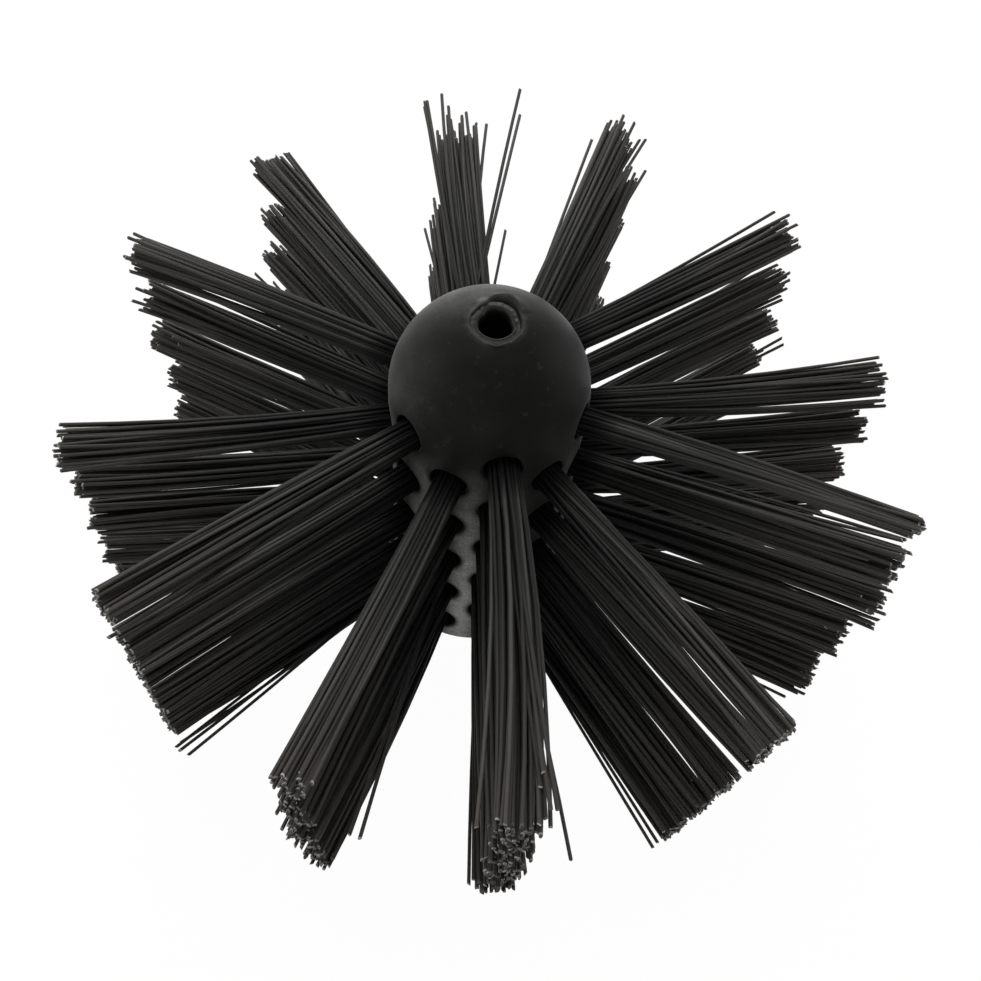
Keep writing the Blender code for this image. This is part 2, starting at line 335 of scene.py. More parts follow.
# Single filaments that stand away from their tufts. Each has its row and tuft, its lean to the side
# and towards the nose in degrees, and how far beyond the sweep it is cut in mm
STRAYS = (
    (1, 1, -1.0, 0.5, 0.0),
    (1, 1, 0.0, 0.0, 0.0),
    (1, 1, -1.9, -1.0, -2.5),
    (1, 1, -1.4, 0.5, -3.5),
    (1, 3, 5.0, -0.5, 0.5),
    (2, 2, -3.0, -2.5, 0.8),
    (2, 3, -2.5, -2.5, 0.5),
    (2, 3, 7.8, 3.0, -1.2),
    (2, 3, 9.7, 3.5, -1.0),
    (3, 2, -0.5, 2.5, 0.0),
    (3, 5, 4.6, 0.0, -1.0),
    (3, 5, 5.8, 0.5, -1.0),
    (3, 5, 7.8, 1.0, -1.5),
    (5, 1, -6.3, -2.5, 0.8),
    (5, 1, -6.0, -3.5, 0.3),
    (5, 2, -2.0, 0.0, 0.0),
    (5, 2, 0.0, -1.5, 0.0),
    (6, 1, -4.3, 1.5, 0.0),
    (6, 1, -4.8, 1.0, 0.0),
    (6, 1, -5.2, 1.0, 0.0),
    (6, 1, 2.5, 0.5, 0.0),
    (6, 4, 5.5, 9.0, 1.0),
    (7, 1, -15.5, 4.0, 0.0),
    (7, 1, -16.0, -2.5, 0.0),
    (7, 1, -9.2, -5.5, 0.0),
    (7, 1, 4.0, 0.5, 0.0),
    (7, 1, 3.5, 0.5, 0.0),
    (7, 1, 4.0, -1.0, 0.0),
    (7, 1, 0.5, 2.0, 0.0),
    (7, 1, -1.0, -1.0, 0.0),
    (7, 1, -4.0, -4.0, 0.0),
    (7, 1, -7.0, -5.5, 0.0),
    (7, 3, 3.5, -9.5, -0.5),
    (7, 4, -15.5, 2.5, 0.0),
    (8, 1, 7.0, 1.0, 0.0),
    (8, 1, 1.5, 8.5, 0.5),
    (8, 1, -1.0, 7.5, 0.5),
    (8, 1, -4.0, 4.5, 0.5),
    (8, 2, -5.5, 9.5, 0.5),
    (9, 1, 3.4, -1.5, 0.0),
    (9, 1, -2.5, 0.0, 0.0),
    (9, 4, -8.5, 9.0, 1.0),
    (9, 4, -9.5, 8.0, 1.0),
    (11, 2, 2.0, 6.5, -0.5),
    (11, 2, 0.5, 7.5, 0.0),
    (11, 4, -1.0, 4.5, -0.5),
    (11, 4, 0.5, 5.5, 0.0),
    (11, 4, 1.5, 5.0, -1.0),
    (11, 5, 0.0, 4.5, -0.5),
    (11, 5, 1.5, 5.0, 0.0),
    (11, 5, -3.5, -4.0, -1.5),
    (11, 5, -4.0, -4.0, -1.0),
    (11, 5, -4.5, -3.5, -1.0),
    (11, 5, -6.0, -5.0, -2.0),
    (12, 5, -12.0, 2.5, -1.5),
    (12, 5, -10.5, 2.0, -1.8),
)

# Colours, linear
HUB_DARK = (0.0036, 0.0036, 0.0033, 1)
HUB_LIGHT = (0.0062, 0.0062, 0.0053, 1)
HUB_SCUFF = (0.05, 0.05, 0.046, 1)
# Pale colour for dust, and for painted light on the lands and the ball
HUB_DUST_AND_PAINTED_LIGHT = (0.33, 0.33, 0.31, 1)
NYLON_DARK = (0.0160, 0.0160, 0.0155, 1)
NYLON_LIGHT = (0.0560, 0.0560, 0.0525, 1)
# Painted shade on the filaments towards the hole's mouth, and near black at it
NYLON_PAINTED_SHADE = (0.0080, 0.0080, 0.0076, 1)
NYLON_ROOT_PAINTED_SHADE = (0.002, 0.002, 0.002, 1)
NYLON_WORN = (0.054, 0.048, 0.043, 1)
NYLON_DUSTY = (0.042, 0.042, 0.038, 1)
NYLON_CUT = (0.36, 0.355, 0.335, 1)
STEEL_DARK = (0.006, 0.006, 0.0055, 1)
STEEL_LIGHT = (0.013, 0.0127, 0.0112, 1)
STEEL_PAINTED_SHADE = (0.002, 0.002, 0.002, 1)
FLOOR_COLOUR = (0.86, 0.86, 0.86, 1)
WHITE = (1, 1, 1, 1)

# Finish: depth of the fine grain of each material, and where the sleeve darkens below its front as
# painted shade
HUB_GRAIN_DEPTH = 0.06 * MM
NYLON_GRAIN_DEPTH = 0.02 * MM
TURNING_DEPTH = 0.02 * MM
TURNING_STRETCH = (0.15, 0.15, 1.0)
RECESS_SHADE_START = 1.0 * MM
RECESS_SHADE_END = 0.1 * MM

# Floor, in metres
FLOOR_HEIGHT = -0.05 * MM
FLOOR_HALF_WIDTH = 1.6
FLOOR_WHITENESS = 0.97

# Surround as a light: its level in front of the head and behind it, and where along Y it changes
WORLD_FRONT = 0.18
WORLD_BEHIND = 0.75
WORLD_FRONT_EDGE = -0.6
WORLD_BEHIND_EDGE = 0.8

# Square lamps: name, place and size in metres, power in watts
SOFTBOXES = (
    ("back_softbox", (0.06, 0.85, 0.55), 0.8, 7.4),
    ("top_softbox", (0.0, 0.25, 0.85), 0.6, 3.5),
    ("left_softbox", (-0.7, 0.15, 0.35), 0.4, 2.0),
    ("right_softbox", (0.7, 0.1, 0.3), 0.4, 1.0),
    ("front_softbox", (-0.2, -0.75, 0.10), 0.25, 1.15),
)

# Camera, from the fit to the photograph
CAMERA_PLACE = (-17.2 * MM, -80.5 * MM, 149.8 * MM)
CAMERA_TURN_DEGREES = (32.48, -3.69, -7.37)
CAMERA_LENS_MM = 42.07
CAMERA_CLIP_START = 0.01


def row_angle(row):
    """Direction of a row round the hub; row 0 faces -Y and the rest follow clockwise from above."""
    return -math.pi / 2 - row * row_step


def tuft_heights(row):
    """Heights of a row's tufts above the rear face, the one nearest the nose first."""
    lead = 0 if row % 2 else TUFT_PITCH / 2
    return [REAR_MARGIN + lead + i * TUFT_PITCH for i in range(TUFTS_PER_ROW)][::-1]


def add_piece(name, mesh, material, slot, *nodes):
    """Put a mesh in the scene as a piece that stands for CAD nodes."""
    piece = bpy.data.objects.new(name, mesh)
    bpy.context.scene.collection.objects.link(piece)
    mesh.materials.append(material)
    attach(piece, "root")
    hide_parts(*nodes)


# Shader helpers


class Nodes:
    """Builds a material's node tree a node at a time."""

    def __init__(self, name):
        self.material = bpy.data.materials.new(name)
        self.material.use_nodes = True
        self.tree = self.material.node_tree
        self.shader = self.tree.nodes["Principled BSDF"]

    def add(self, kind, inputs=None, **settings):
        """Add a node, set its properties, and set or link its inputs."""
        node = self.tree.nodes.new(kind)
        for key, value in settings.items():
            setattr(node, key, value)
        for key, value in (inputs or {}).items():
            self.feed(node.inputs[key], value)
        return node

    def feed(self, socket, value):
        """Link an output socket to an input, or set the input's value."""
        if isinstance(value, bpy.types.NodeSocket):
            self.tree.links.new(value, socket)
        else:
            socket.default_value = value

    def noise(self, scale, detail=3.0, roughness=0.55, vector=None):
        """Noise over object coordinates, in turns per metre."""
        vector = vector or self.coordinates()
        node = self.add(
            "ShaderNodeTexNoise",
            {"Vector": vector, "Scale": scale, "Detail": detail, "Roughness": roughness},
        )
        return node.outputs["Fac"]

    def coordinates(self):
        """Object coordinates, shared by all the textures of the material."""
        if not hasattr(self, "place"):
            self.place = self.add("ShaderNodeTexCoord").outputs["Object"]
        return self.place

    def spread(self, value, low, high, to_low=0.0, to_high=1.0):
        """Map a range to another, clamped."""
        node = self.add(
            "ShaderNodeMapRange",
            {"Value": value, "From Min": low, "From Max": high,
             "To Min": to_low, "To Max": to_high},
        )
        return node.outputs["Result"]

    def mix(self, factor, first, second):
        """Mix two colours."""
        node = self.add("ShaderNodeMix", data_type="RGBA")
        self.feed(node.inputs["Factor"], factor)
        self.feed(node.inputs["A"], first)
        self.feed(node.inputs["B"], second)
        return node.outputs["Result"]

    def math(self, operation, first, second):
        """One step of arithmetic."""
        node = self.add("ShaderNodeMath", operation=operation)
        self.feed(node.inputs[0], first)
        self.feed(node.inputs[1], second)
        return node.outputs["Value"]

    def attribute(self, name):
        """A number stored on the mesh."""
        return self.add("ShaderNodeAttribute", attribute_name=name).outputs["Fac"]

    def bump(self, height, distance, strength=1.0):
        """Bump the shader's normal by a height."""
        node = self.add(
            "ShaderNodeBump", {"Height": height, "Distance": distance, "Strength": strength}
        )
        self.feed(self.shader.inputs["Normal"], node.outputs["Normal"])


def hub_plastic():
    """Charcoal moulded plastic: faint orange peel, scuffs, and pale dust with painted light and
    painted shade on the lands and the ball.
    """
    nodes = Nodes("hub_plastic")
    cloud = nodes.noise(scale=180.0, detail=4.0)
    grain = nodes.noise(scale=2600.0, detail=2.0)
    scuff = nodes.noise(scale=900.0, detail=6.0, roughness=0.7)
    blotches = nodes.noise(scale=420.0, detail=5.0, roughness=0.65)
    specks = nodes.noise(scale=3200.0, detail=4.0, roughness=0.7)

    base = nodes.mix(nodes.spread(cloud, 0.35, 0.7), HUB_DARK, HUB_LIGHT)
    scuffed = nodes.mix(nodes.spread(scuff, 0.58, 0.80, to_high=0.5), base, HUB_SCUFF)
    mottle = nodes.spread(blotches, 0.3, 0.7, to_low=0.6, to_high=1.25)
    speckle = nodes.spread(specks, 0.35, 0.7, to_low=0.6, to_high=1.4)
    # Pale mottled colour from the mesh: dust, with painted light and painted shade
    dust_and_painted_light = nodes.math("MULTIPLY", nodes.attribute("dust_and_painted_light"), nodes.math("MULTIPLY", mottle, speckle))
    nodes.feed(nodes.shader.inputs["Base Color"], nodes.mix(dust_and_painted_light, scuffed, HUB_DUST_AND_PAINTED_LIGHT))

    rough = nodes.spread(cloud, 0.3, 0.7, to_low=0.40, to_high=0.52)
    rougher = nodes.spread(scuff, 0.5, 0.75, to_high=0.14)
    nodes.feed(nodes.shader.inputs["Roughness"], nodes.math("ADD", rough, rougher))
    nodes.shader.inputs["Specular IOR Level"].default_value = 0.05
    nodes.shader.inputs["Sheen Weight"].default_value = 0.10
    nodes.shader.inputs["Sheen Roughness"].default_value = 0.35
    height = nodes.math("ADD", nodes.math("MULTIPLY", grain, 0.35), cloud)
    nodes.bump(height, HUB_GRAIN_DEPTH, strength=0.6)
    return nodes.material


def nylon():
    """Near-black nylon filament: each one its own tint, worn ends, pale specks where it is cut, and
    painted shade towards the hole's mouth.
    """
    nodes = Nodes("nylon_filament")
    tint = nodes.attribute("tint")
    along = nodes.attribute("along")
    cut = nodes.attribute("cut")
    blotch = nodes.noise(scale=700.0, detail=3.0)

    base = nodes.mix(tint, NYLON_DARK, NYLON_LIGHT)
    # Painted shade: darker towards the hole's mouth
    mouth_shade = nodes.spread(along, 0.04, 0.12, to_low=0.5, to_high=0.0)
    shade_towards_mouth = nodes.spread(along, 0.04, 0.6, to_low=0.5, to_high=0.0)
    painted_root_shade = nodes.math("ADD", mouth_shade, shade_towards_mouth)
    mouth_shaded = nodes.mix(painted_root_shade, base, NYLON_PAINTED_SHADE)
    # Painted shade, near black at the hole's mouth
    root = nodes.spread(along, 0.03, 0.12, to_low=0.85, to_high=0.0)
    root_shadowed = nodes.mix(root, mouth_shaded, NYLON_ROOT_PAINTED_SHADE)
    worn = nodes.mix(nodes.spread(along, 0.4, 1.0, to_high=0.6), root_shadowed, NYLON_WORN)
    dusty = nodes.mix(nodes.spread(blotch, 0.6, 0.8, to_high=0.25), worn, NYLON_DUSTY)
    nodes.feed(nodes.shader.inputs["Base Color"], nodes.mix(cut, dusty, NYLON_CUT))

    rough = nodes.spread(blotch, 0.3, 0.8, to_low=0.34, to_high=0.48)
    rougher = nodes.math("MULTIPLY", nodes.math("MAXIMUM", cut, painted_root_shade), 0.35)
    nodes.feed(nodes.shader.inputs["Roughness"], nodes.math("ADD", rough, rougher))
    nodes.shader.inputs["Specular IOR Level"].default_value = 0.06
    nodes.bump(nodes.noise(scale=5200.0, detail=2.0), NYLON_GRAIN_DEPTH, strength=0.35)
    return nodes.material


def sleeve_metal():
    """Blackened turned steel with fine turning marks, and painted shade below its front in the nose's
    recess.
    """
    nodes = Nodes("blackened_steel")
    turned_place = nodes.add(
        "ShaderNodeMapping", {"Vector": nodes.coordinates(), "Scale": TURNING_STRETCH}
    ).outputs["Vector"]
    turned = nodes.noise(scale=9000.0, detail=3.0, roughness=0.6, vector=turned_place)
    patch = nodes.noise(scale=600.0, detail=4.0)
    steel = nodes.mix(nodes.spread(patch, 0.35, 0.7), STEEL_DARK, STEEL_LIGHT)
    height = nodes.add("ShaderNodeSeparateXYZ", {"Vector": nodes.coordinates()}).outputs["Z"]
    front = sleeve_high.z
    # Painted shade: darker below the front, inside the nose's recess
    recess_shade = nodes.spread(height, front - RECESS_SHADE_START, front - RECESS_SHADE_END, to_low=0.9, to_high=0.0)
    nodes.feed(nodes.shader.inputs["Base Color"], nodes.mix(recess_shade, steel, STEEL_PAINTED_SHADE))
    rough = nodes.spread(turned, 0.3, 0.7, to_low=0.36, to_high=0.55)
    nodes.feed(nodes.shader.inputs["Roughness"], rough)
    nodes.shader.inputs["Metallic"].default_value = 0.4
    nodes.shader.inputs["Specular IOR Level"].default_value = 0.2
    nodes.bump(turned, TURNING_DEPTH, strength=0.5)
    return nodes.material


# Hub


def skin_point(turn, rise):
    """Point of the hub's skin at an angle round the axis and a distance up its outline."""
    beyond = max(rise - barrel_length, 0) / hub_radius
    radius = hub_radius * math.cos(beyond)
    height = min(rise, barrel_length) + hub_radius * math.sin(beyond)
    return Vector((radius * math.cos(turn), radius * math.sin(turn), height))


def skin_place(side, height):
    """Angle from the row's direction, and distance up the outline, of a point beside a hole."""
    beyond = math.asin(max(height - barrel_length, 0) / hub_radius)
    rise = min(height, barrel_length) + hub_radius * beyond
    return math.asin(side / (hub_radius * math.cos(beyond))), rise


def cell_border():
    """Border of the patch of skin round one hole, in shares of its half width and height."""
    border = []
    for i in range(2 * HALF_PITCH_STEPS):
        border.append((1.0, i / HALF_PITCH_STEPS - 1.0))
    for i in range(ROW_WIDTH_STEPS):
        border.append((1.0 - 2.0 * i / ROW_WIDTH_STEPS, 1.0))
    for i in range(2 * HALF_PITCH_STEPS):
        border.append((-1.0, 1.0 - i / HALF_PITCH_STEPS))
    for i in range(ROW_WIDTH_STEPS):
        border.append((2.0 * i / ROW_WIDTH_STEPS - 1.0, -1.0))
    return border


def join_rings(bm, first, second, closed=True):
    """Quads between two rings of vertices."""
    count = len(first)
    for i in range(count if closed else count - 1):
        j = (i + 1) % count
        bm.faces.new((first[i], first[j], second[j], second[i]))


def add_hole(bm, angle, height):
    """Patch of skin with one tuft hole: its soft edge, its wall and its floor."""
    half_height = TUFT_PITCH / 2
    half_turn = row_step / 2
    border = cell_border()
    sides = [math.atan2(v * half_height, u * half_turn * hub_radius) for u, v in border]

    def ring_at(reach, drop):
        """Vertices round the hole at a distance from its axis, sunk below the skin."""
        ring = []
        for side in sides:
            y = reach * math.cos(side)
            z = height + reach * math.sin(side)
            turn, rise = skin_place(y, z)
            x = skin_point(turn, rise).x - drop
            ring.append(bm.verts.new((
                x * math.cos(angle) - y * math.sin(angle),
                x * math.sin(angle) + y * math.cos(angle),
                z,
            )))
        return ring

    outer_reach = HOLE_RADIUS + HOLE_EDGE
    rings = []
    for step in range(SKIN_STEPS):
        share = step / SKIN_STEPS
        ring = []
        for (u, v), side in zip(border, sides):
            y = outer_reach * math.cos(side)
            z = height + outer_reach * math.sin(side)
            turn, rise = skin_place(y, z)
            turn = (1 - share) * u * half_turn + share * turn
            rise = (1 - share) * (height + v * half_height) + share * rise
            ring.append(bm.verts.new(skin_point(angle + turn, rise)))
        rings.append(ring)
    for step in range(HOLE_EDGE_STEPS + 1):
        sweep = math.pi / 2 * step / HOLE_EDGE_STEPS
        rings.append(ring_at(
            outer_reach - HOLE_EDGE * math.sin(sweep),
            HOLE_EDGE * (1 - math.cos(sweep)),
        ))
    depth = hub_radius - HOLE_FLOOR_RADIUS
    for share in HOLE_WALL_SHARES:
        rings.append(ring_at(HOLE_RADIUS, depth * share))
    for first, second in zip(rings, rings[1:]):
        join_rings(bm, first, second)
    middle = Vector((HOLE_FLOOR_RADIUS, 0, height))
    floor = bm.verts.new((middle.x * math.cos(angle), middle.x * math.sin(angle), height))
    last = rings[-1]
    for i in range(len(last)):
        bm.faces.new((last[i], last[(i + 1) % len(last)], floor))


def add_plain_patch(bm, angle, bottom, top):
    """Patch of skin one row wide without a hole, half a pitch high at most."""
    steps = HALF_PITCH_STEPS
    rows = []
    for i in range(steps + 1):
        rise = bottom + (top - bottom) * i / steps
        turns = [row_step * (j / ROW_WIDTH_STEPS - 0.5) for j in range(ROW_WIDTH_STEPS + 1)]
        rows.append([bm.verts.new(skin_point(angle + turn, rise)) for turn in turns])
    for first, second in zip(rows, rows[1:]):
        join_rings(bm, first, second, closed=False)


def ring_of(bm, radius, height, segments, wobble=None):
    """Ring of vertices round the axis, starting on the edge between two rows."""
    ring = []
    for i in range(segments):
        turn = row_angle(0) + row_step / 2 + 2 * math.pi * i / segments
        out, up = wobble(turn) if wobble else (0, 0)
        ring.append(bm.verts.new((
            (radius + out) * math.cos(turn),
            (radius + out) * math.sin(turn),
            height + up,
        )))
    return ring


def ragged(turn, noises):
    """Uneven edge of a torn or trimmed rim at an angle round the axis."""
    total = 0.0
    for strength, tightness, place in noises:
        point = Vector((math.cos(turn) * tightness, math.sin(turn) * tightness, place))
        level = noise.fractal(point, NOISE_FALLOFF, NOISE_LACUNARITY, NOISE_OCTAVES)
        total += strength * MM * level
    return total


def near_turn(turn, middle_degrees, width_degrees):
    """1 at an angle round the axis, fading to 0 over a width to both sides of it."""
    apart = math.degrees(math.remainder(turn - math.radians(middle_degrees), 2 * math.pi))
    return math.exp(-(apart / width_degrees) ** 2)


def mouth_wobble(share):
    """Torn rim of the nose hole, dented on its far side, fading out with distance from it."""
    def wobble(turn):
        out = MOUTH_DENT * near_turn(turn, *MOUTH_DENT_PLACE)
        out += MOUTH_POINT * near_turn(turn, *MOUTH_POINT_PLACE)
        out += ragged(turn, MOUTH_OUT_NOISES)
        return share * out, share * ragged(turn, MOUTH_UP_NOISES)
    return wobble


def finished_mesh(bm, name, weld, sharp_degrees):
    """Mesh of a welded and smoothly shaded body, with its faces pointing out."""
    bmesh.ops.remove_doubles(bm, verts=bm.verts, dist=weld)
    bmesh.ops.recalc_face_normals(bm, faces=bm.faces)
    mesh = bpy.data.meshes.new(name)
    bm.to_mesh(mesh)
    bm.free()
    mesh.shade_smooth()
    mesh.set_sharp_from_angle(angle=math.radians(sharp_degrees))
    return mesh


def hub_mesh():
    """Whole hub: skin with sixty holes, ball nose with its ragged mouth, rear face and bore."""
    bm = bmesh.new()
    half = TUFT_PITCH / 2
    lowest = REAR_MARGIN - half
    for row in range(ROW_COUNT):
        angle = row_angle(row)
        for height in tuft_heights(row):
            add_hole(bm, angle, height)
        if row % 2:
            add_plain_patch(bm, angle, barrel_length, barrel_length + half)
        else:
            add_plain_patch(bm, angle, lowest, REAR_MARGIN)

    segments = ROW_COUNT * ROW_WIDTH_STEPS
    rings = []
    start = half / hub_radius
    mouth = math.acos((NOSE_BORE_RADIUS + MOUTH_RIM) / hub_radius)
    for i in range(NOSE_STEPS + 1):
        beyond = start + (mouth - start) * i / NOSE_STEPS
        near = max(0.0, (i / NOSE_STEPS - NOSE_RAGGED_START_SHARE) / NOSE_RAGGED_LENGTH_SHARE)
        rings.append(ring_of(
            bm,
            hub_radius * math.cos(beyond),
            barrel_length + hub_radius * math.sin(beyond),
            segments,
            mouth_wobble(near * NOSE_RAGGEDNESS) if near else None,
        ))
    top = barrel_length + hub_radius * math.sin(mouth)
    for radius, depth, share in MOUTH_PROFILE:
        rings.append(ring_of(bm, radius * MM, top - depth * MM, segments, mouth_wobble(share)))
    for radius, height in (
        (NOSE_BORE_RADIUS, BODY_BORE_DEPTH),
        (BODY_BORE_RADIUS, BODY_BORE_DEPTH),
        (BODY_BORE_RADIUS, BORE_CHAMFER),
        (BODY_BORE_RADIUS + BORE_CHAMFER, 0),
        ((BODY_BORE_RADIUS + hub_radius) / 2, 0),
    ):
        rings.append(ring_of(bm, radius, height, segments))
    for i in range(CHAMFER_STEPS + 1):
        sweep = math.pi / 2 * i / CHAMFER_STEPS
        rings.append(ring_of(
            bm,
            hub_radius - REAR_CHAMFER * (1 - math.sin(sweep)),
            REAR_CHAMFER * (1 - math.cos(sweep)),
            segments,
        ))
    rings.append(ring_of(bm, hub_radius, lowest, segments))
    for first, second in zip(rings, rings[1:]):
        join_rings(bm, first, second)

    mesh = finished_mesh(bm, "hub_moulding", HUB_WELD, HUB_SHARP_DEGREES)
    add_dust_and_painted_light(mesh)
    return mesh


def hole_distance(place):
    """Distance over the barrel from a point to the nearest edge of a tuft hole."""
    nearest = TUFT_PITCH
    for row in range(ROW_COUNT):
        turn = math.remainder(math.atan2(place.y, place.x) - row_angle(row), 2 * math.pi)
        if abs(turn) < row_step:
            side = turn * hub_radius
            for height in tuft_heights(row):
                nearest = min(nearest, math.hypot(side, place.z - height) - HOLE_RADIUS)
    return max(nearest, 0.0)


def land_dust_and_painted_light(place):
    """Dust and painted light on the barrel's lands: paler towards the rear, palest midway between two
    rows, with painted shade along each row, round each hole and to one side.
    """
    turn = math.atan2(place.y, place.x)
    fade = min(max(1.0 - place.z / barrel_length, 0.0), 1.0)
    # Painted shade from the tufts: darker round each hole, along each row, and to one side
    out_of_hole_shade = min(hole_distance(place) / HOLE_PAINTED_SHADE_WIDTH, 1.0)
    out_of_hole_shade *= out_of_hole_shade * (3 - 2 * out_of_hole_shade)
    midway = 0.5 - 0.5 * math.cos(ROW_COUNT * (turn - row_angle(0)))
    side_shadow = 1 - SIDE_PAINTED_SHADOW * near_turn(turn, *SIDE_PAINTED_SHADOW_PLACE)
    return min(LAND_PALENESS_SLOPE * fade, LAND_PALENESS_MOST) * out_of_hole_shade * midway * side_shadow


def near_radius(radius, middle, width):
    """1 at a distance from the axis, fading to 0 over a width to both sides of it."""
    return math.exp(-((radius - middle) / width) ** 2)


def ball_painted_light(place):
    """Painted light on the ball: on its back, a painted rim highlight on its left flank and round the
    mouth, and one pale fleck there.
    """
    turn = math.atan2(place.y, place.x)
    radius = math.hypot(place.x, place.y)
    facing = Vector((place.x, place.y, place.z - barrel_length)).normalized()
    back = max(facing.dot(Vector(BACK_PAINTED_LIGHT_DIRECTION)), 0.0)
    flank = max(facing.dot(Vector(FLANK_PAINTED_HIGHLIGHT_DIRECTION)), 0.0)
    value = BACK_PAINTED_LIGHT * back ** BACK_PAINTED_LIGHT_TIGHTNESS + FLANK_PAINTED_HIGHLIGHT * flank ** FLANK_PAINTED_HIGHLIGHT_TIGHTNESS
    value += RIM_PAINTED_HIGHLIGHT * near_radius(radius, RIM_PAINTED_HIGHLIGHT_RADIUS, RIM_PAINTED_HIGHLIGHT_WIDTH)
    fleck = near_turn(turn, *FLECK_PLACE) * near_radius(radius, FLECK_RADIUS, FLECK_WIDTH)
    return value + FLECK_DUST * fleck


def add_dust_and_painted_light(mesh):
    """Store how pale each point of the hub is: dust, painted light and painted shade."""
    values = []
    for vertex in mesh.vertices:
        place = vertex.co
        rise = max(place.z - barrel_length, 0.0)
        from_centre = math.hypot(place.x, place.y, rise)
        if from_centre > hub_radius - DUST_SKIN_DEPTH:
            ball = min(rise / hub_radius / BALL_BLEND_SHARE, 1.0)
            values.append((1 - ball) * land_dust_and_painted_light(place) + ball * ball_painted_light(place))
        else:
            # Faint painted light lifting the shade inside
            values.append(INSIDE_PAINTED_LIGHT)
    layer = mesh.attributes.new("dust_and_painted_light", "FLOAT", "POINT")
    layer.data.foreach_set("value", values)


# Sleeve


def ring_wobble(share):
    """Uneven front lip of the sleeve's ring, which draws in at its slits."""
    def wobble(turn):
        out = ragged(turn, RING_OUT_NOISES) + RING_STRETCH * near_turn(turn, *RING_STRETCH_PLACE)
        for place in RING_SLIT_PLACES:
            out -= RING_SLIT * near_turn(turn, *place)
        up = ragged(turn, RING_UP_NOISES) + RING_RISE * near_turn(turn, *RING_RISE_PLACE)
        return share * out, share * up
    return wobble


def thread_wobble(height, fade):
    """Groove of the thread round the socket's wall at a height."""
    def wobble(turn):
        phase = (height / THREAD_PITCH + turn / (2 * math.pi)) % 1.0
        groove = min(1.0, max(0.0, THREAD_HEIGHT - abs(phase - 0.5) * THREAD_SLOPE))
        return THREAD_DEPTH * fade * groove, 0
    return wobble


def sleeve_mesh():
    """Turned sleeve: threaded socket, step, and the thin front ring that shows in the nose."""
    bm = bmesh.new()
    front = sleeve_high.z
    body_top = SLEEVE_SETBACK + SLEEVE_BODY_LENGTH
    socket_top = SLEEVE_SETBACK + SOCKET_DEPTH
    cone = SOCKET_RADIUS - SPIGOT_BORE_RADIUS

    rings = []
    for radius, height in (
        (SOCKET_RADIUS + SOCKET_EDGE, SLEEVE_SETBACK),
        (sleeve_radius - SLEEVE_EDGE, SLEEVE_SETBACK),
        (sleeve_radius, SLEEVE_SETBACK + SLEEVE_EDGE),
        (sleeve_radius, body_top),
        (SPIGOT_RADIUS, body_top),
        (SPIGOT_RADIUS, front - RING_ROOT_DEPTH),
    ):
        rings.append(ring_of(bm, radius, height, SLEEVE_SEGMENTS))
    for radius, depth, share in RING_PROFILE:
        height = front + RING_LIFT - depth * MM
        rings.append(ring_of(bm, radius * MM, height, SLEEVE_SEGMENTS, ring_wobble(share)))
    rings.append(ring_of(bm, SPIGOT_BORE_RADIUS, front - RING_BORE_DEPTH, SLEEVE_SEGMENTS))
    rings.append(ring_of(bm, SPIGOT_BORE_RADIUS, socket_top + cone, SLEEVE_SEGMENTS))
    thread_steps = int(SOCKET_DEPTH / THREAD_PITCH * THREAD_STEPS)
    for i in range(thread_steps + 1):
        height = socket_top - SOCKET_DEPTH * i / thread_steps
        fade = min(1.0, (socket_top - height) / THREAD_PITCH)
        rings.append(ring_of(bm, SOCKET_RADIUS, height, SLEEVE_SEGMENTS, thread_wobble(height, fade)))
    for first, second in zip(rings, rings[1:] + rings[:1]):
        join_rings(bm, first, second)
    return finished_mesh(bm, "sleeve_turning", SLEEVE_WELD, SLEEVE_SHARP_DEGREES)


# Tufts


def packed_disc(count):
    """Places of a bundle of filaments in a disc of radius 1, as in a sunflower's head."""
    golden = math.pi * (3 - math.sqrt(5))
    return [
        (math.sqrt((i + 0.5) / count) * math.cos(i * golden),
         math.sqrt((i + 0.5) / count) * math.sin(i * golden))
        for i in range(count)
    ]


def filament_path(start, direction, cut_radius, curl):
    """Points of one filament from the hole's floor, through its mouth, to its cut end."""
    inside = Vector((HOLE_FLOOR_RADIUS, start.y, start.z))
    a = direction.x ** 2 + direction.y ** 2
    b = 2 * (start.x * direction.x + start.y * direction.y)
    c = start.x ** 2 + start.y ** 2 - cut_radius ** 2
    length = (-b + math.sqrt(b * b - 4 * a * c)) / (2 * a)
    points = [inside, start]
    for share in (*PATH_SHARES, 1.0 - CUT_BAND / length, 1.0):
        point = start + direction * (length * share) + curl * (length * share * (share - 1))
        point.z += max(0.0, FLOOR_GAP + FILAMENT_RADIUS - point.z)
        points.append(point)
    return points


def lean(direction, side_degrees, up_degrees):
    """Turn a direction along +X to the side and up."""
    turned = direction.copy()
    turned.rotate(Euler((0, -math.radians(up_degrees), 0)))
    turned.rotate(Euler((0, 0, math.radians(side_degrees))))
    return turned


def packed_leans(row):
    """Lean of each tuft of a packed row to the side and towards the nose, the nose's tuft first."""
    node = bpy.data.objects[f"bristle_row_{row + 1:02d}"]
    turn = Euler((0, 0, -row_angle(row))).to_matrix().to_4x4() @ node.matrix_world
    points = np.array([turn @ vertex.co for vertex in node.data.vertices])
    ends = points[np.hypot(points[:, 0], points[:, 1]) > sweep_radius * STRAND_END_SHARE]
    ends = ends[np.argsort(-ends[:, 2])]
    leans = []
    for group, height in zip(np.array_split(ends, TUFTS_PER_ROW), tuft_heights(row)):
        reach, aside, up = group.mean(axis=0) - (tuft_mouth, 0, height)
        leans.append((math.degrees(math.atan2(aside, reach)), math.degrees(math.atan2(up, reach))))
    return leans


